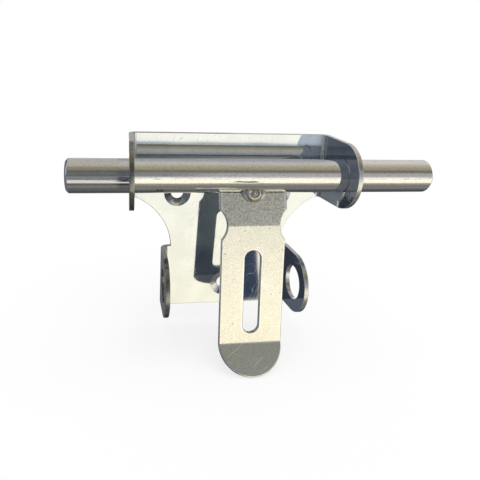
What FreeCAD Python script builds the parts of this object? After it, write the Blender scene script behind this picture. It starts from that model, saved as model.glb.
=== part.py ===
import FreeCAD, Part
import math
import os
import Sketcher

# Sliding door bolt for a padlock.
# A round rod slides sideways through two ears folded up from a sheet metal plate.
# A bent flat handle is tack welded under the rod. Its slot drops over one of two
# lower ears, and a padlock through the hole of that ear keeps the handle down.
#
# Frame, in millimetres: +X along the rod, +Y into the door, +Z up.
# The origin lies on the door face, midway between the ears, level with the rod axis.

doc = FreeCAD.newDocument("door_bolt")
sheet = doc.addObject("Spreadsheet::Sheet", "sizes")
V = FreeCAD.Vector

# Sizes

sizes = [
    ("sheet_thickness", 2.0, "bracket sheet"),
    ("bend_inside", 1.5, "inside radius of the ear folds"),
    ("plate_top", 15.0, "top edge above the rod axis"),
    ("plate_bottom", 69.0, "bottom edge below the rod axis"),
    ("rod_standoff", 20.0, "door face to rod axis"),
    ("upper_inside", 87.6, "clear width between the upper ears"),
    ("upper_ear_radius", 14.0, "nose of an upper ear"),
    ("upper_root_bottom", 14.5, "lower end of an upper fold, below the rod axis"),
    ("lower_inside", 58.0, "clear width between the lower ears"),
    ("lower_ear_radius", 13.5, "nose of a lower ear"),
    ("lower_ear_drop", 51.2, "padlock hole below the rod axis"),
    ("lower_ear_reach", 16.7, "padlock hole in front of the door face"),
    ("lower_root_top", 38.2, "upper end of a lower fold, below the rod axis"),
    ("lower_root_bottom", 66.5, "lower end of a lower fold, below the rod axis"),
    ("padlock_hole", 15.4, "diameter"),
    ("armpit_radius", 27.5, "rounded cut-out under an upper ear"),
    ("armpit_side", 53.75, "centre of the cut-out from the middle"),
    ("armpit_drop", 39.5, "centre of the cut-out below the rod axis"),
    ("rod_diameter", 14.0, "round bar"),
    ("rod_gap", 0.1, "play all round the rod in its ear holes"),
    ("hole_break", 0.3, "edge break of the ear holes"),
    ("rod_left", 70.1, "left end from the middle"),
    ("rod_right", 82.0, "right end from the middle"),
    ("rod_chamfer", 1.0, "both ends"),
    ("screw_spacing", 47.5, "between the two upper screw holes"),
    ("screw_upper_drop", 12.5, "upper screw holes below the rod axis"),
    ("screw_lower_drop", 58.5, "lower screw hole below the rod axis"),
    ("screw_hole", 5.5, "diameter"),
    ("countersink", 12.2, "diameter at the front of the sheet"),
    ("countersink_depth", 1.5, "depth of the cone"),
    ("handle_side", 4.8, "middle of the handle, right of the bracket's middle"),
    ("handle_width", 27.0, "strip width below the upper bend"),
    ("tab_width", 28.4, "strip width above the upper bend"),
    ("handle_thickness", 2.0, "strip thickness"),
    ("handle_front", 5.5, "front of the flat part, in front of the rod axis"),
    ("handle_bend", 2.0, "inside radius of both bends"),
    ("neck_drop", 20.0, "upper bend below the rod axis"),
    ("neck_angle", 11.8, "upper bend, degrees"),
    ("neck_cut_radius", 8.5, "side notches at the upper bend"),
    ("neck_cut_depth", 2.3, "side notches at the upper bend"),
    ("tip_drop", 70.5, "lower bend below the rod axis"),
    ("tip_angle", 32.0, "lower bend, degrees"),
    ("slot_top", 30.5, "below the rod axis"),
    ("slot_bottom", 66.1, "below the rod axis"),
    ("slot_width", 6.8, "obround slot"),
    ("edge_round", 0.5, "rolled edges of the strip"),
    ("rest_swing", 8.0, "handle forward of hanging straight down, degrees"),
    ("weld_gap", 0.05, "between the rod and what is welded to it"),
    ("weld_width", 10.4, "tack weld, along the rod"),
    ("weld_height", 8.4, "tack weld, up and down"),
    ("weld_rise", 2.0, "tack weld, above the strip"),
]
for row, (name, value, note) in enumerate(sizes, start=1):
    sheet.set("A%d" % row, name)
    sheet.set("B%d" % row, str(value))
    sheet.set("C%d" % row, note)
    sheet.setAlias("B%d" % row, name)
doc.recompute()
SIZE = {name: value for name, value, note in sizes}


# Helpers

def bind(obj, **formulas):
    """Drive properties from the size sheet; names in braces are sizes."""
    paths = {
        "X": "Placement.Base.x",
        "Y": "Placement.Base.y",
        "Z": "Placement.Base.z",
        "Turn": "Placement.Rotation.Angle",
    }
    for prop, formula in formulas.items():
        for name in sorted(SIZE, key=len, reverse=True):
            formula = formula.replace("{%s}" % name, "sizes.%s" % name)
        obj.setExpression(paths.get(prop, prop), formula)
    return obj


def box(name, **formulas):
    """Block from its corner X, Y, Z and its Length, Width, Height."""
    return bind(doc.addObject("Part::Box", name), **formulas)


def rod_like(name, turn=None, **formulas):
    """Round bar along Z, or along the direction that turn gives it."""
    bar = doc.addObject("Part::Cylinder", name)
    if turn:
        bar.Placement = FreeCAD.Placement(V(0, 0, 0), turn)
    return bind(bar, **formulas)


def join(name, shapes):
    """Fuse several solids to one."""
    fused = doc.addObject("Part::MultiFuse", name)
    fused.Shapes = shapes
    fused.Refine = True
    return fused


def overlap(name, first, second):
    """Keep what two solids share."""
    shared = doc.addObject("Part::Common", name)
    shared.Base = first
    shared.Tool = second
    shared.Refine = True
    return shared


def remove(name, base, tools):
    """Cut several tools out of a solid."""
    cut = doc.addObject("Part::Cut", name)
    cut.Base = base
    cut.Tool = tools[0] if len(tools) == 1 else join(name + "_tools", tools)
    cut.Refine = True
    return cut


ALONG_X = FreeCAD.Rotation(V(0, 1, 0), 90)
TO_FRONT = FreeCAD.Rotation(V(1, 0, 0), 90)


# Bracket: one folded sheet, with a plate, two upper ears and two lower ears

def channel(name, half, top, bottom, front):
    """Length of folded channel, open to the front, as wide inside as 2 * half."""
    back = box(
        name + "_back",
        X="-(%s) + {bend_inside}" % half,
        Y="-{sheet_thickness}",
        Z=bottom,
        Length="2 * (%s) - 2 * {bend_inside}" % half,
        Width="{sheet_thickness}",
        Height="(%s) - (%s)" % (top, bottom),
    )
    pieces = [back]
    for side, sign, turn in (("left", "-", 90), ("right", "", 0)):
        leg = box(
            name + "_leg_" + side,
            X="%s(%s)%s" % (sign, half, " - {sheet_thickness}" if sign else ""),
            Y="-(%s)" % front,
            Z=bottom,
            Length="{sheet_thickness}",
            Width="(%s) - {sheet_thickness} - {bend_inside}" % front,
            Height="(%s) - (%s)" % (top, bottom),
        )
        pieces.append(leg)
        quarter = FreeCAD.Rotation(V(0, 0, 1), turn)
        where = dict(
            X="%s((%s) - {bend_inside})" % (sign, half),
            Y="-{sheet_thickness} - {bend_inside}",
            Z=bottom,
            Height="(%s) - (%s)" % (top, bottom),
        )
        outside = rod_like(
            name + "_fold_" + side, quarter, Radius="{bend_inside} + {sheet_thickness}", **where
        )
        inside = rod_like(name + "_fold_inside_" + side, quarter, Radius="{bend_inside}", **where)
        outside.Angle = 90
        inside.Angle = 90
        pieces.append(remove(name + "_bend_" + side, outside, [inside]))
    return join(name + "_channel", pieces)


def ear_outline(name, half, root_top, root_bottom, drop, reach, radius):
    """Side outline of an ear: it runs from the fold forward to a round nose."""
    taper = doc.addObject("Part::Wedge", name + "_taper")
    taper.Placement = FreeCAD.Placement(V(0, 0, 0), FreeCAD.Rotation(V(1, 0, 0), 180))
    bind(
        taper,
        Xmin="-(%s)" % half,
        Xmax=half,
        X2min="-(%s)" % half,
        X2max=half,
        Ymin="0",
        Ymax=reach,
        Zmin=root_top,
        Zmax=root_bottom,
        Z2min="(%s) - (%s)" % (drop, radius),
        Z2max="(%s) + (%s)" % (drop, radius),
    )
    nose = rod_like(
        name + "_nose",
        ALONG_X,
        X="-(%s)" % half,
        Y="-(%s)" % reach,
        Z="-(%s)" % drop,
        Radius=radius,
        Height="2 * (%s)" % half,
    )
    return join(name + "_outline", [taper, nose])


upper = overlap(
    "upper_part",
    channel(
        "upper",
        "{upper_inside} / 2",
        "{plate_top}",
        "-{upper_root_bottom}",
        "{rod_standoff} + {upper_ear_radius}",
    ),
    ear_outline(
        "upper",
        "{upper_inside} / 2 + {sheet_thickness}",
        "-{plate_top}",
        "{upper_root_bottom}",
        "0",
        "{rod_standoff}",
        "{upper_ear_radius}",
    ),
)
lower = overlap(
    "lower_part",
    channel(
        "lower",
        "{lower_inside} / 2",
        "-{lower_ear_drop} + {lower_ear_radius}",
        "-{lower_root_bottom}",
        "{lower_ear_reach} + {lower_ear_radius}",
    ),
    ear_outline(
        "lower",
        "{lower_inside} / 2 + {sheet_thickness}",
        "{lower_root_top}",
        "{lower_root_bottom}",
        "{lower_ear_drop}",
        "{lower_ear_reach}",
        "{lower_ear_radius}",
    ),
)

shoulder = box(
    "shoulder",
    X="-{upper_inside} / 2 + {bend_inside}",
    Y="-{sheet_thickness}",
    Z="-{lower_root_top}",
    Length="{upper_inside} - 2 * {bend_inside}",
    Width="{sheet_thickness}",
    Height="{lower_root_top} - {upper_root_bottom} + 1",
)
armpits = [
    rod_like(
        "armpit_" + side,
        TO_FRONT,
        X="%s{armpit_side}" % sign,
        Y="1",
        Z="-{armpit_drop}",
        Radius="{armpit_radius}",
        Height="{sheet_thickness} + 2",
    )
    for side, sign in (("left", "-"), ("right", ""))
]
web = box(
    "web",
    X="-{lower_inside} / 2 + {bend_inside}",
    Y="-{sheet_thickness}",
    Z="-{plate_bottom}",
    Length="{lower_inside} - 2 * {bend_inside}",
    Width="{sheet_thickness}",
    Height="{plate_bottom} - {lower_root_top}",
)
blank = join("bracket_blank", [upper, remove("waist", shoulder, armpits), web, lower])

holes = []


def edge_break(name, face_x, grow):
    """Cone that breaks the edge of a rod hole at one face of an ear."""
    cone = doc.addObject("Part::Cone", name)
    cone.Placement = FreeCAD.Placement(V(0, 0, 0), ALONG_X)
    wide = "{rod_diameter} / 2 + {rod_gap} + {hole_break}"
    narrow = "{rod_diameter} / 2 + {rod_gap}"
    return bind(
        cone,
        X=face_x if grow else "%s - {hole_break}" % face_x,
        Y="-{rod_standoff}",
        Radius1=wide if grow else narrow,
        Radius2=narrow if grow else wide,
        Height="{hole_break}",
    )


holes.append(
    rod_like(
        "rod_bore",
        ALONG_X,
        X="-{upper_inside} / 2 - {sheet_thickness} - 1",
        Y="-{rod_standoff}",
        Radius="{rod_diameter} / 2 + {rod_gap}",
        Height="{upper_inside} + 2 * {sheet_thickness} + 2",
    )
)
holes.append(edge_break("break_a", "-{upper_inside} / 2 - {sheet_thickness}", True))
holes.append(edge_break("break_b", "-{upper_inside} / 2", False))
holes.append(edge_break("break_c", "{upper_inside} / 2", True))
holes.append(edge_break("break_d", "{upper_inside} / 2 + {sheet_thickness}", False))
holes.append(
    rod_like(
        "padlock_bore",
        ALONG_X,
        X="-{lower_inside} / 2 - {sheet_thickness} - 1",
        Y="-{lower_ear_reach}",
        Z="-{lower_ear_drop}",
        Radius="{padlock_hole} / 2",
        Height="{lower_inside} + 2 * {sheet_thickness} + 2",
    )
)
for name, x, drop in (
    ("screw_left", "-{screw_spacing} / 2", "{screw_upper_drop}"),
    ("screw_right", "{screw_spacing} / 2", "{screw_upper_drop}"),
    ("screw_low", "0", "{screw_lower_drop}"),
):
    through = rod_like(
        name, TO_FRONT, X=x, Y="1", Z="-" + drop, Radius="{screw_hole} / 2", Height="6"
    )
    cone = doc.addObject("Part::Cone", name + "_cone")
    cone.Placement = FreeCAD.Placement(V(0, 0, 0), TO_FRONT)
    bind(
        cone,
        X=x,
        Y="-{sheet_thickness} + {countersink_depth}",
        Z="-" + drop,
        Radius1="{screw_hole} / 2",
        Radius2="{countersink} / 2",
        Height="{countersink_depth}",
    )
    holes.extend([through, cone])

bracket = remove("bracket", blank, holes)


# Rod: polished round bar with chamfered ends

rod_body = rod_like(
    "rod_body",
    ALONG_X,
    X="-{rod_left} + {rod_chamfer}",
    Y="-{rod_standoff}",
    Radius="{rod_diameter} / 2",
    Height="{rod_left} + {rod_right} - 2 * {rod_chamfer}",
)
rod_ends = []
for name, x, small_first in (
    ("rod_end_left", "-{rod_left}", True),
    ("rod_end_right", "{rod_right} - {rod_chamfer}", False),
):
    end = doc.addObject("Part::Cone", name)
    end.Placement = FreeCAD.Placement(V(0, 0, 0), ALONG_X)
    small = "{rod_diameter} / 2 - {rod_chamfer}"
    full = "{rod_diameter} / 2"
    bind(
        end,
        X=x,
        Y="-{rod_standoff}",
        Radius1=small if small_first else full,
        Radius2=full if small_first else small,
        Height="{rod_chamfer}",
    )
    rod_ends.append(end)
bolt_rod = join("bolt_rod", [rod_body] + rod_ends)


# Handle: bent strip, drawn as it hangs straight down, with the rod axis at its origin

front = SIZE["handle_front"]
thick = SIZE["handle_thickness"]
neck = math.radians(SIZE["neck_angle"])
tip = math.radians(SIZE["tip_angle"])
neck_radius = SIZE["handle_bend"] + thick
tip_radius = SIZE["handle_bend"]
neck_run = neck_radius * math.tan(neck / 2)
tip_run = tip_radius * math.tan(tip / 2)
half_width = SIZE["handle_width"] / 2
neck_point = V(-front, -SIZE["neck_drop"], 0)
tip_point = V(-front, -SIZE["tip_drop"], 0)
up_tab = V(math.sin(neck), math.cos(neck), 0)
down_tip = V(-math.sin(tip), -math.cos(tip), 0)
down = V(0, -1, 0)
tab_length = (
    front * math.sin(neck)
    + SIZE["neck_drop"] * math.cos(neck)
    - SIZE["rod_diameter"] / 2
    - SIZE["weld_gap"]
)

# The sketch follows the front of the strip from its top edge to its tip.
line = doc.addObject("Sketcher::SketchObject", "strip_front")
line.Placement = FreeCAD.Placement(V(0, 0, 0), FreeCAD.Rotation(V(0, 1, 0), V(0, 0, 1), V(1, 0, 0)))
tab_top = neck_point + up_tab * tab_length
tab_end = neck_point + up_tab * neck_run
flat_start = neck_point + down * neck_run
flat_end = tip_point - down * tip_run
tip_start = tip_point + down_tip * tip_run
tip_end = tip_point + down_tip * half_width
neck_centre = flat_start + V(neck_radius, 0, 0)
tip_centre = flat_end - V(tip_radius, 0, 0)
UPWARD = V(0, 0, 1)
tab = line.addGeometry(Part.LineSegment(tab_top, tab_end))
neck_arc = line.addGeometry(
    Part.ArcOfCircle(Part.Circle(neck_centre, UPWARD, neck_radius), math.pi - neck, math.pi)
)
flat = line.addGeometry(Part.LineSegment(flat_start, flat_end))
tip_arc = line.addGeometry(
    Part.ArcOfCircle(Part.Circle(tip_centre, UPWARD, tip_radius), -tip, 0)
)
lip = line.addGeometry(Part.LineSegment(tip_start, tip_end))
START = 1
END = 2


def rule(name, formula, *parts):
    """Dimension in the sketch, driven from the size sheet."""
    index = line.addConstraint(Sketcher.Constraint(*parts))
    line.renameConstraint(index, name)
    bind(line, **{"Constraints." + name: formula})


line.addConstraint(Sketcher.Constraint("Tangent", tab, END, neck_arc, START))
line.addConstraint(Sketcher.Constraint("Tangent", neck_arc, END, flat, START))
line.addConstraint(Sketcher.Constraint("Tangent", flat, END, tip_arc, END))
line.addConstraint(Sketcher.Constraint("Tangent", tip_arc, START, lip, START))
line.addConstraint(Sketcher.Constraint("Vertical", flat))
rule("neck_bend", "{handle_bend} + {handle_thickness}", "Radius", neck_arc, neck_radius)
rule("tip_bend", "{handle_bend}", "Radius", tip_arc, tip_radius)
rule("front", "{handle_front}", "DistanceX", flat, START, -1, 1, front)
rule(
    "flat_top",
    "{neck_drop} + ({handle_bend} + {handle_thickness}) * tan({neck_angle} / 2)",
    "DistanceY",
    flat,
    START,
    -1,
    1,
    -flat_start.y,
)
rule(
    "flat_bottom",
    "{tip_drop} - {handle_bend} * tan({tip_angle} / 2)",
    "DistanceY",
    flat,
    END,
    -1,
    1,
    -flat_end.y,
)
rule(
    "tab_length",
    "{handle_front} * sin({neck_angle}) + {neck_drop} * cos({neck_angle})"
    " - {rod_diameter} / 2 - {weld_gap}"
    " - ({handle_bend} + {handle_thickness}) * tan({neck_angle} / 2)",
    "Distance",
    tab,
    tab_length - neck_run,
)
rule(
    "lip_length",
    "{handle_width} / 2 - {handle_bend} * tan({tip_angle} / 2)",
    "Distance",
    lip,
    half_width - tip_run,
)
rule("neck_turn", "{neck_angle} * 1 deg", "Angle", neck_arc, neck)
rule("tip_turn", "{tip_angle} * 1 deg", "Angle", tip_arc, tip)
doc.recompute()

strip_side = doc.addObject("Part::Offset2D", "strip_side")
strip_side.Source = line
strip_side.Mode = "Skin"
strip_side.Fill = True
bind(strip_side, Value="-{handle_thickness}")

strip = doc.addObject("Part::Extrusion", "strip")
strip.Base = strip_side
strip.DirMode = "Custom"
strip.Dir = V(1, 0, 0)
strip.Solid = True
strip.Symmetric = True
bind(strip, LengthFwd="{tab_width}")

# The lip ends in a half round as wide as the strip, cut square to the lip itself.
lip_block = box(
    "lip_block",
    X="-{handle_width} / 2 - 2",
    Y="-3",
    Z="-{handle_width} / 2 - 2",
    Length="{handle_width} + 4",
    Width="{handle_thickness} + 6",
    Height="{handle_width} / 2 + 2",
)
lip_disc = rod_like(
    "lip_disc",
    TO_FRONT,
    Y="{handle_thickness} + 4",
    Radius="{handle_width} / 2",
    Height="{handle_thickness} + 8",
)
lip_corners = remove("lip_corners", lip_block, [lip_disc])
lip_corners.Placement = FreeCAD.Placement(V(0, 0, 0), FreeCAD.Rotation(V(-1, 0, 0), 10))
bind(lip_corners, Y="-{handle_front}", Z="-{tip_drop}", Turn="{tip_angle}")

strip_cuts = [lip_corners]
for side, x in (("left", "-{tab_width} / 2 - 1"), ("right", "{handle_width} / 2")):
    strip_cuts.append(
        box(
            "step_" + side,
            X=x,
            Y="-30",
            Z="-{tip_drop} - {handle_width}",
            Length="({tab_width} - {handle_width}) / 2 + 1",
            Width="40",
            Height="{tip_drop} + {handle_width} - {neck_drop}",
        )
    )
for side, sign in (("left", "-"), ("right", "")):
    strip_cuts.append(
        rod_like(
            "neck_cut_" + side,
            TO_FRONT,
            X="%s({handle_width} / 2 + {neck_cut_radius} - {neck_cut_depth})" % sign,
            Y="10",
            Z="-{neck_drop}",
            Radius="{neck_cut_radius}",
            Height="30",
        )
    )
for end, drop in (
    ("top", "{slot_top} + {slot_width} / 2"),
    ("bottom", "{slot_bottom} - {slot_width} / 2"),
):
    strip_cuts.append(
        rod_like(
            "slot_" + end,
            TO_FRONT,
            Y="10",
            Z="-(%s)" % drop,
            Radius="{slot_width} / 2",
            Height="30",
        )
    )
strip_cuts.append(
    box(
        "slot_middle",
        X="-{slot_width} / 2",
        Y="-20",
        Z="-{slot_bottom} + {slot_width} / 2",
        Length="{slot_width}",
        Width="30",
        Height="{slot_bottom} - {slot_top} - {slot_width}",
    )
)
punched = remove("punched_strip", strip, strip_cuts)
doc.recompute()


def sharp_edges(shape, shortest):
    """Numbers of the edges where two faces meet at a sharp corner."""
    found = []
    for number, edge in enumerate(shape.Edges, start=1):
        faces = shape.ancestorsOfType(edge, Part.Face)
        if len(faces) != 2 or edge.Length < shortest:
            continue
        middle = edge.valueAt((edge.FirstParameter + edge.LastParameter) / 2)
        normals = [face.normalAt(*face.Surface.parameter(middle)) for face in faces]
        if abs(normals[0].dot(normals[1])) < 0.7:
            found.append(number)
    return found


handle = doc.addObject("Part::Fillet", "handle")
handle.Base = punched
radius = SIZE["edge_round"]
handle.Edges = [(n, radius, radius) for n in sharp_edges(punched.Shape, thick * 1.2)]


# Tack weld: low round bead in the corner between the strip and the rod

weld_dome = doc.addObject("Part::Ellipsoid", "weld_dome")
weld_dome.Placement = FreeCAD.Placement(V(0, 0, 0), FreeCAD.Rotation(V(-1, 0, 0), 10))
tab_run = (
    "({handle_front} * sin({neck_angle}) + {neck_drop} * cos({neck_angle})"
    " - {rod_diameter} / 2 - {weld_gap})"
)
weld_y = "-{handle_front} + %s * sin({neck_angle})" % tab_run
weld_z = "-{neck_drop} + %s * cos({neck_angle})" % tab_run
bind(
    weld_dome,
    Radius1="{weld_height} / 2",
    Radius2="{weld_width} / 2",
    Radius3="{weld_rise}",
    Y=weld_y,
    Z=weld_z,
    Turn="{neck_angle}",
)
weld_bore = rod_like(
    "weld_bore",
    ALONG_X,
    X="-{weld_width}",
    Radius="{rod_diameter} / 2 + {weld_gap}",
    Height="2 * {weld_width}",
)
# Block whose front lies on the front of the strip, so that the bead stays before it.
weld_back = doc.addObject("Part::Box", "weld_back")
weld_back.Placement = FreeCAD.Placement(V(0, 0, 0), FreeCAD.Rotation(V(-1, 0, 0), 10))
bind(
    weld_back,
    X="-{weld_width}",
    Y=weld_y + " - {weld_height} * sin({neck_angle})",
    Z=weld_z + " - {weld_height} * cos({neck_angle})",
    Turn="{neck_angle}",
    Length="2 * {weld_width}",
    Width="2 * {weld_rise}",
    Height="2 * {weld_height}",
)
weld_bead = remove("weld_bead", weld_dome, [weld_bore, weld_back])

for obj in (handle, weld_bead):
    obj.Placement = FreeCAD.Placement(V(0, 0, 0), FreeCAD.Rotation(V(-1, 0, 0), 10))
    bind(obj, X="{handle_side}", Y="-{rod_standoff}", Turn="{rest_swing}")


# Export, one file for each piece

doc.recompute()
for obj in doc.Objects:
    for state in obj.State:
        if state in ("Invalid", "Error"):
            raise RuntimeError("%s is %s" % (obj.Label, state))
    if hasattr(obj, "Shape") and (obj.Shape.isNull() or not obj.Shape.isValid()):
        raise RuntimeError("%s has no valid shape" % obj.Label)

os.makedirs("parts", exist_ok=True)
for obj in (bracket, bolt_rod, handle, weld_bead):
    obj.Shape.exportStep("parts/%s.step" % obj.Label)
    size = obj.Shape.BoundBox
    print(
        "%-10s volume %9.1f  solids %d  x %7.2f %7.2f  y %7.2f %7.2f  z %7.2f %7.2f"
        % (
            obj.Label,
            obj.Shape.Volume,
            len(obj.Shape.Solids),
            size.XMin,
            size.XMax,
            size.YMin,
            size.YMax,
            size.ZMin,
            size.ZMax,
        )
    )
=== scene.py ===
import bmesh
import bpy
import math
from mathutils import Matrix, Vector


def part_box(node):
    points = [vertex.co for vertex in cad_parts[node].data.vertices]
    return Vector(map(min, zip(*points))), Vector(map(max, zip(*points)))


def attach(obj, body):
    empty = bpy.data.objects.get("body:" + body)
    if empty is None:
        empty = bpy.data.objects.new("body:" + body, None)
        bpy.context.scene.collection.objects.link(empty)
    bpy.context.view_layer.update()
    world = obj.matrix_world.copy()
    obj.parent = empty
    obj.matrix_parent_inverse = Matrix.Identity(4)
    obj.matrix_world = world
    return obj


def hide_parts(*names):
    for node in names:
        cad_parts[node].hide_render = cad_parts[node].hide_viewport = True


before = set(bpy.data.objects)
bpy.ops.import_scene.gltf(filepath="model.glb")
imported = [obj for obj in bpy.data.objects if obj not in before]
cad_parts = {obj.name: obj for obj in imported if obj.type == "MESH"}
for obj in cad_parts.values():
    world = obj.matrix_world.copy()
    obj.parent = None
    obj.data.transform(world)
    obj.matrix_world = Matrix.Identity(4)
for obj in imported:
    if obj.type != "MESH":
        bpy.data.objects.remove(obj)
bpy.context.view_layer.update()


# Bracket: one blank of 2 mm sheet steel, folded into a plate with two upper ears for the rod
# and two lower ears for the padlock. The faces keep the mill's mirror polish, the sheared
# edges are dull and torn, and the burr is broken to a round edge. The sheared edges and the
# burr carry painted shade on the left and painted light on the right.

MM = 0.001
PLATE_FACES = (0.0, -0.002)
EAR_FACES = (0.0438, 0.0458, 0.0290, 0.0310)
ON_A_FACE = 0.01 * MM
SHORTEST_EDGE = 0.12 * MM
BURR_WIDTH = 0.22 * MM
STILL_FLAT = math.radians(0.4)
FOLD_LINE = math.radians(18)
CORNER = math.radians(60)

# By its normal, a face is square to an axis, level, or slanted as a fold or a countersink is.
SQUARE_ON = 0.99
LEVEL = 0.02
SLANTED = 0.05
SINK_SLANT = (0.3, 0.95)
SINK_SHEAR = 0.3


def copy_of_node(node, shortest):
    """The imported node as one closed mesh, its edges under the shortest length merged."""
    work = bmesh.new()
    work.from_mesh(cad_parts[node].data)
    bmesh.ops.remove_doubles(work, verts=work.verts, dist=shortest)
    return work


def round_edges(work, edges, width, limited):
    """Rounds edges to a width, limited by their neighbours or not. Gives the new faces."""
    return bmesh.ops.bevel(
        work,
        geom=edges,
        offset=width,
        offset_type="OFFSET",
        segments=2,
        profile=0.5,
        affect="EDGES",
        clamp_overlap=limited,
        material=-1,
    )["faces"]


def placed(name, data):
    """Puts a mesh, a lamp or a camera in the scene, at the origin."""
    made = bpy.data.objects.new(name, data)
    bpy.context.scene.collection.objects.link(made)
    return made


def mesh_from(work, name):
    """Ends the work on a mesh, and puts it in the scene."""
    mesh = bpy.data.meshes.new(name)
    work.to_mesh(mesh)
    work.free()
    return placed(name, mesh)


def piece_from(work, name, body, node):
    """Makes the worked mesh a piece that rides on a body and stands for a node."""
    piece = mesh_from(work, name)
    piece.data.shade_smooth()
    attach(piece, body)
    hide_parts(node)
    return piece


def shade_evenly(piece):
    """Keeps large faces flat to the eye up to their rounded edges."""
    weighted = piece.modifiers.new("even_shading", "WEIGHTED_NORMAL")
    weighted.keep_sharp = True
    weighted.weight = 100


def lies_on(place, faces):
    """Whether a face lies in one of the sheet's flat sides."""
    return min(abs(place - face) for face in faces) < ON_A_FACE


sheet = copy_of_node("bracket", SHORTEST_EDGE)
bmesh.ops.dissolve_limit(
    sheet, angle_limit=STILL_FLAT, verts=sheet.verts, edges=sheet.edges
)
sheared = sheet.faces.layers.float.new("sheared")
rubbed = sheet.faces.layers.float.new("rubbed")
bent = sheet.faces.layers.float.new("bent")
corners = [edge for edge in sheet.edges if edge.calc_face_angle(0) > CORNER]
for edge in sheet.edges:
    if FOLD_LINE < edge.calc_face_angle(0) <= CORNER:
        edge.smooth = False
burr = round_edges(sheet, corners, BURR_WIDTH, limited=False)
sheet.normal_update()
for face in sheet.faces:
    normal = face.normal
    middle = face.calc_center_median()
    on_plate = abs(normal.y) > SQUARE_ON and lies_on(middle.y, PLATE_FACES)
    on_ear = abs(normal.x) > SQUARE_ON and lies_on(abs(middle.x), EAR_FACES)
    in_fold = abs(normal.z) < LEVEL and min(abs(normal.x), abs(normal.y)) > SLANTED
    in_sink = middle.y > PLATE_FACES[1] and SINK_SLANT[0] < abs(normal.y) < SINK_SLANT[1]
    polished = on_plate or on_ear or in_fold
    face[sheared] = 0.0 if polished else SINK_SHEAR if in_sink else 1.0
    face[bent] = 1.0 if in_fold else 0.0
for face in burr:
    face[sheared] = 0.0
    face[rubbed] = 1.0
    face[bent] = 0.0
bracket = piece_from(sheet, "folded_bracket", "bracket_body", "bracket")
shade_evenly(bracket)


class Wire:
    """A link inside a finish. Sums on it add Math nodes, and node() adds any other node."""

    def __init__(self, tree, socket=None):
        self.tree = tree
        self.socket = socket

    def node(self, kind, settings=None, inputs=None, output=0):
        """Adds a node with its settings and inputs, and gives one of its outputs."""
        made = self.tree.nodes.new("ShaderNode" + kind)
        for name, value in (settings or {}).items():
            if name == "stops":
                steps = made.color_ramp.elements
                steps.remove(steps[1])
                steps[0].position, steps[0].color = value[0][0], (*value[0][1], 1.0)
                for place, shade in value[1:]:
                    steps.new(place).color = (*shade, 1.0)
            else:
                setattr(made, name, value)
        for name, value in (inputs or {}).items():
            if isinstance(value, Wire):
                self.tree.links.new(value.socket, made.inputs[name])
            else:
                made.inputs[name].default_value = value
        return Wire(self.tree, None if output is None else made.outputs[output])

    def maths(self, operation, *terms):
        return self.node("Math", {"operation": operation}, dict(enumerate(terms)))

    def __add__(self, other):
        return self.maths("ADD", self, other)

    def __radd__(self, other):
        return self.maths("ADD", other, self)

    def __sub__(self, other):
        return self.maths("SUBTRACT", self, other)

    def __rsub__(self, other):
        return self.maths("SUBTRACT", other, self)

    def __mul__(self, other):
        return self.maths("MULTIPLY", self, other)

    def __rmul__(self, other):
        return self.maths("MULTIPLY", other, self)

    def __abs__(self):
        return self.maths("ABSOLUTE", self)

    def fade(self, low, high, start=0.0, end=1.0):
        """Runs from start to end, smoothly, as the value goes from low to high."""
        return self.node(
            "MapRange",
            {"interpolation_type": "SMOOTHSTEP"},
            {"Value": self, "From Min": low, "From Max": high, "To Min": start, "To Max": end},
        )

    def mix(self, first, second):
        """Two colours, mixed by this value."""
        return self.node(
            "Mix", {"data_type": "RGBA"}, {"Factor": self, 6: first, 7: second}, output=2
        )


def colour(red, green, blue):
    return (red, green, blue, 1.0)


def layered(ground, *coats):
    """Lays coats of colour over a ground, each as far as the share before it says."""
    for share, tint in coats:
        ground = share.mix(ground, tint)
    return ground


def finish_for(name):
    """A new metal finish: its material, its shader, and the place on the piece."""
    material = bpy.data.materials.new(name)
    material.use_nodes = True
    shader = material.node_tree.nodes["Principled BSDF"]
    shader.inputs["Metallic"].default_value = 1.0
    place = Wire(material.node_tree).node("TexCoord", output="Object")
    return material, shader, place


def part_of(vector, axis):
    """One coordinate of a place or a direction."""
    return vector.node("SeparateXYZ", {}, {"Vector": vector}, axis)


def marked(place, mark):
    """How far the faces here carry a mark that was given to the mesh."""
    return place.node("Attribute", {"attribute_name": mark}, output="Fac")


def turned(place, centre=(0, 0, 0), angles=(0, 0, 0), stretch=(1, 1, 1)):
    """The place on a piece, turned and stretched so that a pattern can run along it."""
    return place.node(
        "Mapping",
        {"vector_type": "TEXTURE"},
        {"Vector": place, "Location": centre, "Rotation": angles, "Scale": stretch},
    )


def cloud(place, size, detail=2.0, rough=0.5):
    """Even random grain, with patches about as large as size."""
    return place.node(
        "TexNoise",
        {"noise_dimensions": "3D", "normalize": True},
        {"Vector": place, "Scale": 1.0 / size, "Detail": detail, "Roughness": rough},
    )


def hairlines(place, size, width):
    """Thin wandering lines: where the grain passes through its middle value."""
    return abs(cloud(place, size, 1.0) - 0.5).fade(0.0, width, 1.0, 0.0)


def relief(height, depth):
    """Fine relief of the given depth, for the Normal of a shader."""
    return height.node("Bump", {}, {"Strength": 1.0, "Distance": depth, "Height": height})


def plug_in(shader, **links):
    """Leads links into the shader's sockets, which they name with low lines for spaces."""
    for name, wire in links.items():
        wire.tree.links.new(wire.socket, shader.inputs[name.replace("_", " ")])


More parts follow.
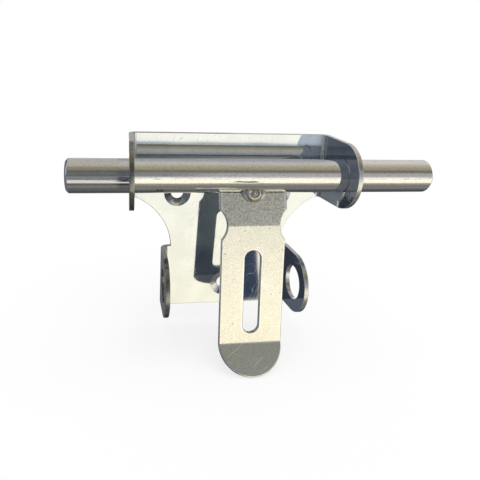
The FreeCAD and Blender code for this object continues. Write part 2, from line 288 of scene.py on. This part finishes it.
MIRROR = (colour(0.645, 0.685, 0.715), colour(0.71, 0.75, 0.78))
WORN = colour(0.56, 0.58, 0.58)
TORN_IN_PAINTED_SHADE = (colour(0.13, 0.13, 0.13), colour(0.40, 0.395, 0.38))
SHEARED_PAINTED_LIGHT = (colour(0.44, 0.445, 0.455), colour(0.78, 0.79, 0.80))
BURR_PAINTED_SHADE_TO_LIGHT = (colour(0.42, 0.42, 0.41), colour(0.86, 0.86, 0.84))
MIDDLE_BLEND = 5 * MM

polish, shader, place = finish_for("bracket_polish")
cut = marked(place, "sheared")
burr_rim_mask = marked(place, "rubbed")
fold = marked(place, "bent")
grain = cloud(place, 0.55 * MM, 3.0, 0.6)
haze = cloud(place, 9 * MM, 3.0)
wave = cloud(place, 22 * MM, 1.0)
lines = hairlines(turned(place, angles=(0, 0.5, 0), stretch=(1, 1, 6)), 4 * MM, 0.006)
torn = cloud(place, 0.35 * MM, 3.0, 0.7).fade(0.35, 0.65)
# Across the middle, from left to right, the edges go from painted shade to painted light.
painted_light_to_right = part_of(place, "X").fade(-MIDDLE_BLEND, MIDDLE_BLEND)
plug_in(
    shader,
    Base_Color=layered(
        haze.fade(0.3, 0.7).mix(*MIRROR),
        (grain.fade(0.35, 0.65) * 0.22 + lines * 0.45, WORN),
        # Sheared edges: torn grey grain, with painted shade on the left and painted light on the
        # right.
        (cut, painted_light_to_right.mix(torn.mix(*TORN_IN_PAINTED_SHADE), torn.mix(*SHEARED_PAINTED_LIGHT))),
        # Burr rims: painted shade on the left, a painted highlight on the right, and a little
        # rougher.
        (burr_rim_mask, painted_light_to_right.mix(*BURR_PAINTED_SHADE_TO_LIGHT)),
    ),
    Roughness=0.025 + haze * 0.03 + lines * 0.10 + fold * 0.22 + cut * 0.18 + burr_rim_mask * 0.10,
    Normal=relief(wave * 0.08 + grain * (0.001 + 0.05 * cut), 0.30 * MM),
)
bracket.data.materials.append(polish)


# Rod: a length of 14 mm bright drawn bar, turned to a small chamfer at both ends, that slides
# in the upper ears. Drawing leaves faint lines along it, and facing leaves rings on its ends.

ROD_RADIUS = 7.0 * MM
CHAMFER = 1.0 * MM
ROUNDING = 0.12 * MM
STEPS_ROUND = 144
DOUBLES = 0.001 * MM
TURNED_EDGE = math.radians(30)

low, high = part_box("bolt_rod")
axis_y = (low.y + high.y) / 2
axis_z = (low.z + high.z) / 2
middle_x = (low.x + high.x) / 2
half_length = (high.x - low.x) / 2

bar = bmesh.new()
half_section = [
    (low.x, 0.0),
    (low.x, ROD_RADIUS - CHAMFER),
    (low.x + CHAMFER, ROD_RADIUS),
    (high.x - CHAMFER, ROD_RADIUS),
    (high.x, ROD_RADIUS - CHAMFER),
    (high.x, 0.0),
]
section = [bar.verts.new((x, axis_y, axis_z + radius)) for x, radius in half_section]
outline = [bar.edges.new(pair) for pair in zip(section, section[1:])]
bmesh.ops.spin(
    bar,
    geom=section + outline,
    cent=(0, axis_y, axis_z),
    axis=(1, 0, 0),
    angle=math.tau,
    steps=STEPS_ROUND,
    use_merge=True,
    use_duplicate=False,
)
bmesh.ops.remove_doubles(bar, verts=bar.verts, dist=DOUBLES)
bmesh.ops.recalc_face_normals(bar, faces=bar.faces)
turned_edges = [edge for edge in bar.edges if edge.calc_face_angle(0) > TURNED_EDGE]
round_edges(bar, turned_edges, ROUNDING, limited=True)
rod = piece_from(bar, "drawn_rod", "rod_body", "bolt_rod")
shade_evenly(rod)


def length_of(vector):
    """How far a place is from the centre that it is measured from."""
    return vector.node("VectorMath", {"operation": "LENGTH"}, {0: vector}, "Value")


DRAWN = (colour(0.63, 0.63, 0.63), colour(0.775, 0.78, 0.785))
NO_LENGTH = 1e6
FACING_PITCH = 0.45 * MM
END_SKIN = (0.06 * MM, 0.02 * MM)

drawn, shader, place = finish_for("rod_polish")
along = turned(place, centre=(0, axis_y, axis_z), stretch=(40, 1, 1))
draw_lines = cloud(along, 0.5 * MM, 3.0, 0.7)
speckle = cloud(turned(place, stretch=(2, 1, 1)), 0.6 * MM)
streaks = cloud(turned(place, stretch=(10, 1, 1)), 0.8 * MM)
haze = cloud(turned(place, stretch=(3, 1, 1)), 6 * MM)
from_axis = length_of(turned(place, centre=(0, axis_y, axis_z), stretch=(NO_LENGTH, 1, 1)))
facing = from_axis.maths("SINE", from_axis * (math.tau / FACING_PITCH))
from_middle = abs(part_of(place, "X") - middle_x)
at_end = from_middle.fade(half_length - END_SKIN[0], half_length - END_SKIN[1])
plug_in(
    shader,
    Base_Color=(speckle.fade(0.34, 0.5) * 0.75 + haze * 0.25).mix(*DRAWN),
    Roughness=0.015 + draw_lines * 0.03 + speckle * 0.03 + at_end * 0.16,
    Normal=relief(draw_lines * 0.02 + streaks * 0.14 + facing * at_end * 0.20, 0.12 * MM),
)
rod.data.materials.append(drawn)


# Handle: a strip of the same sheet, punched with a long slot for the padlock ears, bent at the
# neck and at the tip, and tumbled until its edges are round. Its satin skin is finely pitted,
# its slot, sides and tip are rubbed smoother at their rims and carry a painted highlight there,
# its top tab and bent lip carry painted reflection tints, cream and bluish, and its back keeps
# a brushed, rougher mill grain, painted a dark bluish shade.

HANDLE_MIDDLE = 4.8 * MM
SWING = math.radians(8)
HALF_WIDTH = 13.5 * MM
SLOT_RADIUS = 3.4 * MM
SLOT_TOP = -33.9 * MM
SLOT_BOTTOM = -62.7 * MM
NECK = -20.0 * MM
TIP = -70.5 * MM
BEND_BLEND = 0.6 * MM
TAB_LEAN = 0.2
LIP_LEAN = 0.6
LIP_STRETCH = 1 / math.cos(math.radians(32))
FRONT_FACE = 4.5 * MM
BACK_STARTS = (0.3 * MM, 0.8 * MM)
SLOT_RIM = (0.5 * MM, 0.9 * MM)
SIDE_RIM = (0.75 * MM, 0.35 * MM)


def larger(first, second):
    return first.maths("MAXIMUM", first, second)


def distance(across, along):
    """How far a place is from a point, by its distances across and along the strip."""
    return length_of(across.node("CombineXYZ", {}, {"X": across, "Y": along}))


def pits(place, size, share):
    """Small round marks, in only some of the cells that they may lie in."""
    cell = {"Vector": place, "Scale": 1.0 / size}
    near_heart = place.node("TexVoronoi", {"feature": "F1"}, cell).fade(0.08, 0.2, 1.0, 0.0)
    lot = place.node("TexVoronoi", {"feature": "F1"}, cell, "Color")
    picked = lot.node("SeparateColor", {}, {"Color": lot}).fade(share, share + 0.02, 1.0, 0.0)
    return near_heart * picked


SATIN = (colour(0.80, 0.79, 0.70), colour(0.84, 0.83, 0.75))
LIP_PAINTED_REFLECTION = colour(0.91, 0.98, 1.0)
TAB_PAINTED_REFLECTION = colour(0.97, 0.955, 0.86)
GRIT_WITH_LIP_REFLECTION = (colour(0.51, 0.51, 0.48), colour(0.56, 0.63, 0.72))
PITTED = colour(0.36, 0.34, 0.30)
SCRATCHED = colour(0.95, 0.95, 0.93)
RIM_PAINTED_HIGHLIGHT = colour(0.90, 0.90, 0.87)
BACK_PAINTED_SHADE = (colour(0.28, 0.34, 0.43), colour(0.40, 0.47, 0.57))

satin, shader, place = finish_for("handle_satin")
strip = turned(place, centre=(HANDLE_MIDDLE, axis_y, axis_z), angles=(-SWING, 0, 0))
side = part_of(strip, "X")
depth = part_of(strip, "Y")
height = part_of(strip, "Z")

above_neck = larger(height - NECK, 0.0)
below_bend = larger(TIP - height, 0.0)
behind_front = depth + FRONT_FACE - above_neck * TAB_LEAN + below_bend * LIP_LEAN
behind = behind_front.fade(*BACK_STARTS)
tab = height.fade(NECK - BEND_BLEND, NECK)
lip = below_bend.fade(0, BEND_BLEND)

slot_line = height.node("Clamp", {}, {"Value": height, "Min": SLOT_BOTTOM, "Max": SLOT_TOP})
to_slot = distance(side, height - slot_line)
slot_rim = to_slot.fade(SLOT_RADIUS + SLOT_RIM[0], SLOT_RADIUS + SLOT_RIM[1], 1.0, 0.0)
to_middle = distance(side, below_bend * LIP_STRETCH)
side_rim = to_middle.fade(HALF_WIDTH - SIDE_RIM[0], HALF_WIDTH - SIDE_RIM[1])
rims = larger(slot_rim, side_rim)

sand = cloud(strip, 0.75 * MM, 3.0, 0.75)
patch = cloud(strip, 7 * MM, 3.0)
brushed = cloud(turned(strip, stretch=(1, 1, 14)), 0.35 * MM)
pitted = pits(strip, 2.0 * MM, 0.16)
coarse = larger(tab, lip * 0.15)
scratches = larger(
    hairlines(turned(strip, angles=(0, 0.9, 0), stretch=(1, 1, 4)), 8 * MM, 0.007),
    hairlines(turned(strip, angles=(0, -0.5, 0), stretch=(1, 1, 4)), 11 * MM, 0.006),
)
handled = cloud(strip, 5 * MM, 1.0).fade(0.46, 0.56)
marks = scratches * (handled * height.fade(TIP, TIP + 1 * MM, 1.0, 0.30))
plug_in(
    shader,
    Base_Color=layered(
        patch.fade(0.3, 0.7).mix(*SATIN),
        # Painted reflection tints over the one satin: bluish on the bent lip, cream on the top
        # tab.
        (lip, LIP_PAINTED_REFLECTION),
        (tab * 0.5, TAB_PAINTED_REFLECTION),
        # Grit grain, tinted bluish on the lip as a painted reflection.
        (sand.fade(0.42, 0.58) * (0.20 + 0.60 * coarse), lip.mix(*GRIT_WITH_LIP_REFLECTION)),
        (pitted * 0.5, PITTED),
        (marks * 0.5, SCRATCHED),
        # Painted highlight along the rims of the slot, the sides and the tip.
        (rims, RIM_PAINTED_HIGHLIGHT),
        # The back: brushed, rougher mill grain, painted a dark bluish shade.
        (behind * 0.85, brushed.fade(0.3, 0.7).mix(*BACK_PAINTED_SHADE)),
    ),
    Roughness=0.18 + sand * 0.08 + brushed * 0.04 - rims * 0.08 - marks * 0.05 + behind * 0.14,
    Normal=relief(
        sand * (0.35 + 0.35 * coarse) + brushed * 0.10 + marks * 0.25 - pitted * 0.4,
        0.10 * MM,
    ),
)
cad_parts["handle"].material_slots[0].material = satin


# Weld: a round tack in the corner between the strip and the rod, laid in one circular pass.
# Its face is rippled with rings round a small crater, and the heat has dulled it.

CRATER_DEPTH = 1.2 * MM
RING_PITCH = 2.5 * MM
RINGS_FADE = (1.5 * MM, 4.5 * MM)
SCALED = (colour(0.42, 0.40, 0.37), colour(0.82, 0.80, 0.75))

bead = copy_of_node("weld_bead", DOUBLES)
bead_piece = piece_from(bead, "weld_rings", "handle_body", "weld_bead")

molten, shader, place = finish_for("weld_skin")
low_weld, high_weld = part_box("weld_bead")
heart = (
    (low_weld.x + high_weld.x) / 2,
    (low_weld.y + high_weld.y) / 2,
    high_weld.z - CRATER_DEPTH,
)
from_heart = length_of(turned(place, centre=heart, stretch=(1, 2, 1)))
ripple = from_heart.maths("COSINE", from_heart * (math.tau / RING_PITCH))
rings = ripple * from_heart.fade(*RINGS_FADE, 1.0, 0.25)
grit = cloud(place, 0.4 * MM, 3.0, 0.7)
plug_in(
    shader,
    Base_Color=rings.fade(-1.0, 1.0).mix(*SCALED),
    Roughness=0.22 + grit * 0.15,
    Normal=relief(rings + grit * 0.15, 0.35 * MM),
)
bead_piece.data.materials.append(molten)


# Studio: a plain white floor under the tip of the handle, a soft lamp overhead, a white world
# as the background, and a cloth tent that only the metal's reflections see. The tent is white
# in front, grey above, and dark behind and underneath.

FLOOR_SIZE = 6.0
FLOOR_GAP = 0.1 * MM
FLOOR_PAINT = colour(0.93, 0.93, 0.93)
WHITE = colour(1, 1, 1)
PLAIN_SHARE = 0.75
TENT_RADIUS = 2.5
TENT_LIGHT = 1.32
WORLD_LIGHT = 0.62
LAMP_STRENGTH = 1.6
LAMP_SPREAD = math.radians(70)
LAMP_PLACE = (0.25, -0.35, 1.3)


def bare_nodes(owner):
    """The emptied nodes of a stage material or of the world, to build on."""
    owner.use_nodes = True
    owner.node_tree.nodes.clear()
    return Wire(owner.node_tree)


lowest = min(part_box(node)[0].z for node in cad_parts)
ground = bmesh.new()
bmesh.ops.create_grid(ground, x_segments=1, y_segments=1, size=FLOOR_SIZE)
bmesh.ops.translate(ground, verts=ground.verts, vec=(0, 0, lowest - FLOOR_GAP))
floor = mesh_from(ground, "floor")
floor.visible_glossy = False

paint = bpy.data.materials.new("floor_white")
start = bare_nodes(paint)
painted = start.node(
    "MixShader",
    {},
    {
        0: start.node("LightPath", output="Is Camera Ray") * PLAIN_SHARE,
        1: start.node("BsdfDiffuse", {}, {"Color": FLOOR_PAINT}),
        2: start.node("Emission", {}, {"Color": WHITE, "Strength": 1.0}),
    },
)
start.node("OutputMaterial", {}, {"Surface": painted}, None)
floor.data.materials.append(paint)

shell = bmesh.new()
bmesh.ops.create_uvsphere(shell, u_segments=48, v_segments=24, radius=TENT_RADIUS)
bmesh.ops.reverse_faces(shell, faces=shell.faces)
tent = mesh_from(shell, "tent")
tent.visible_camera = False
tent.visible_diffuse = False
tent.visible_transmission = False
tent.visible_shadow = False

cloth = bpy.data.materials.new("tent_cloth")
start = bare_nodes(cloth)
from_bolt = start.node("TexCoord", output="Object")
aim = from_bolt.node("VectorMath", {"operation": "NORMALIZE"}, {0: from_bolt})
aim_x = part_of(aim, "X")
turn_up = start.maths("ARCTAN2", part_of(aim, "Z"), 0 - part_of(aim, "Y"))
rise = turn_up * (0.5 / math.pi) + 0.5
degrees_up = (rise - 0.5) * 360


def grey(value, warm=0.0):
    """A grey of the tent's cloth, warm above zero and bluish below."""
    return (value * (1 + 0.4 * warm), value, value * (1 - warm))


def strips(steps):
    """Strips of cloth along the bolt: degrees up from the front, over the top, to the rear."""
    stops = [((degrees + 180) / 360, grey(value, warm)) for degrees, value, warm in steps]
    return start.node("ValToRGB", {"stops": stops}, {"Fac": rise})


def band(value, rising, falling):
    """1 between two soft edges and 0 outside, each edge by its start and its end."""
    return value.fade(*rising) * value.fade(*falling, 1.0, 0.0)


underneath = [
    (-180, 0.85, 0.06),
    (-168, 0.85, 0.06),
    (-158, 0.12, -0.1),
    (-115, 0.06, -0.1),
    (-100, 0.10, 0.0),
]
over_the_top = [
    (96, 0.46, 0.10),
    (112, 0.44, 0.06),
    (124, 0.36, 0.0),
    (142, 0.30, -0.08),
    (158, 0.34, 0.0),
    (172, 0.80, 0.06),
]
front = strips(
    underneath
    + [
        (-92, 0.15, 0.0),
        (-80, 0.19, 0.0),
        (-72, 0.18, 0.1),
        (-63, 0.17, 0.1),
        (-56, 0.22, 0.15),
        (-50, 0.27, 0.2),
        (-44, 0.27, 0.2),
        (-39, 0.60, 0.18),
        (-35, 0.98, 0.22),
        (-7, 1.0, 0.12),
        (-3, 0.78, 0.1),
        (3, 0.50, 0.05),
        (10, 0.38, 0.0),
        (18, 0.37, 0.02),
        (26, 0.36, 0.04),
        (32, 0.20, 0.1),
        (40, 0.15, 0.2),
        (48, 0.18, 0.26),
        (56, 0.28, 0.28),
        (66, 0.29, 0.28),
        (80, 0.37, 0.24),
    ]
    + over_the_top
)
gap = strips(
    underneath
    + [
        (-80, 0.10, 0.0),
        (-56, 0.12, 0.0),
        (-50, 0.05, -0.2),
        (-42, 0.012, -0.4),
        (-37, 0.25, 0.0),
        (-34, 0.66, 0.05),
        (-29, 0.66, 0.05),
        (-26, 0.05, -0.3),
        (-22, 0.02, -0.8),
        (0, 0.02, -0.8),
        (5, 0.16, -0.1),
        (8, 0.16, -0.1),
        (13, 0.05, -0.3),
        (38, 0.09, 0.0),
        (66, 0.26, 0.25),
        (80, 0.40, 0.16),
    ]
    + over_the_top
)
left = strips(
    underneath
    + [
        (-80, 0.11, 0.0),
        (-66, 0.18, 0.05),
        (-52, 0.16, 0.05),
        (-45, 0.10, 0.1),
        (-41, 0.12, 0.1),
        (-36, 0.40, 0.1),
        (-31, 0.74, 0.1),
        (-17, 0.56, 0.1),
        (-13, 0.22, 0.1),
        (-6, 0.17, 0.0),
        (2, 0.24, -0.1),
        (9, 0.14, -0.1),
        (14, 0.10, -0.1),
        (25, 0.15, 0.05),
        (41, 0.11, 0.2),
        (52, 0.21, 0.28),
        (66, 0.23, 0.25),
        (75, 0.35, 0.16),
        (90, 0.40, 0.12),
        (158, 0.40, 0.06),
        (172, 0.80, 0.06),
    ]
)
far_left = strips(
    [
        (-180, 0.12, -0.3),
        (-34, 0.05, -0.3),
        (-24, 0.07, -0.3),
        (-17, 0.26, -0.1),
        (-12, 0.70, -0.06),
        (-3, 0.66, -0.08),
        (10, 0.30, -0.1),
        (150, 0.27, -0.1),
        (180, 0.20, -0.1),
    ]
)
corner = strips(
    [
        (-180, 0.16, -0.06),
        (-130, 0.14, -0.1),
        (-24, 0.16, -0.1),
        (-17, 0.22, -0.06),
        (-15, 0.14, -0.15),
        (-3, 0.12, -0.2),
        (4, 0.13, -0.2),
        (60, 0.12, -0.25),
        (120, 0.16, -0.2),
        (180, 0.12, -0.3),
    ]
)

# The panels meet along the bolt, from its far left to its middle, where the front panel
# starts. A batten, a shaded patch, a pale crown, a dark apron and a glint hang before them.

FAR_LEFT_STARTS = (-0.431, -0.423)
LEFT_STARTS = (-0.30, -0.20)
GAP_STARTS = (-0.041, -0.037)
FRONT_STARTS = (-0.006, -0.002)
BATTEN_SIDES = (colour(0.13, 0.17, 0.21), colour(0.37, 0.43, 0.46))
SHADE = colour(0.12, 0.14, 0.15)
CROWN = colour(0.60, 0.57, 0.52)
APRON = colour(0.035, 0.05, 0.085)
GLINT = colour(0.75, 0.74, 0.70)

batten = band(degrees_up, (-9.9, -9.5), (-8.45, -8.35)) * aim_x.fade(*FAR_LEFT_STARTS)
batten_sides = degrees_up.fade(-8.88, -8.78).mix(*BATTEN_SIDES)
shade = band(degrees_up, (4, 12), (26, 34)) * aim_x.fade(0.06, 0.26, 1.0, 0.0)
crown = band(degrees_up, (96, 108), (150, 160)) * aim_x.fade(0.45, 0.52)
apron_width = band(aim_x, (0.256, 0.262), (0.306, 0.312))
apron = band(degrees_up, (-33, -32), (-24.6, -24.0)) * apron_width
glint = band(degrees_up, (30, 45), (125, 140)) * aim_x.fade(-0.62, -0.58, 1.0, 0.0)
glow = layered(
    corner,
    (aim_x.fade(*FAR_LEFT_STARTS), far_left),
    (aim_x.fade(*LEFT_STARTS), left),
    (aim_x.fade(*GAP_STARTS), gap),
    (aim_x.fade(*FRONT_STARTS), front),
    (batten, batten_sides),
    (shade * 0.6, SHADE),
    (crown, CROWN),
    (apron, APRON),
    (glint * 0.5, GLINT),
)
lit = start.node("Emission", {}, {"Color": glow, "Strength": TENT_LIGHT})
start.node("OutputMaterial", {}, {"Surface": lit}, None)
cloth.cycles.emission_sampling = "NONE"
tent.data.materials.append(cloth)

world = bpy.data.worlds.new("white_world")
bpy.context.scene.world = world
start = bare_nodes(world)
camera_sees, metal_sees, glass_sees = (
    start.node("LightPath", output=f"Is {ray} Ray") for ray in ("Camera", "Glossy", "Transmission")
)
seen = larger(camera_sees, larger(metal_sees, glass_sees))
backdrop = start.node(
    "Background", {}, {"Color": WHITE, "Strength": seen.fade(0, 1, WORLD_LIGHT, 1.0)}
)
start.node("OutputWorld", {}, {"Surface": backdrop}, None)

soft_light = bpy.data.lights.new("soft_lamp", "SUN")
soft_light.angle = LAMP_SPREAD
soft_light.energy = LAMP_STRENGTH
lamp = placed("soft_lamp", soft_light)
lamp.location = LAMP_PLACE
lamp.rotation_mode = "QUATERNION"
lamp.rotation_quaternion = lamp.location.to_track_quat("Z", "Y")
lamp.visible_glossy = False


# Camera: close in front of the bolt, a little to its left and above it, looking slightly
# down, with its lens shifted as the photograph is framed.

EYE = (-0.047121, -0.181115, 0.038475)
RIGHT = Vector((0.991437, -0.126810, 0.031192))
UP = Vector((0.004947, 0.275149, 0.961389))

eye = bpy.data.cameras.new("photo_view")
eye.sensor_width = 36
eye.lens = 30.99
eye.shift_x = 0.125
eye.shift_y = -0.0958
eye.clip_start = 0.005
eye.clip_end = 30
camera = placed("photo_view", eye)
facing_back = Matrix((RIGHT, UP, RIGHT.cross(UP))).transposed().to_4x4()
camera.matrix_world = Matrix.Translation(EYE) @ facing_back
bpy.context.scene.camera = camera
bpy.context.scene.view_settings.view_transform = "Standard"
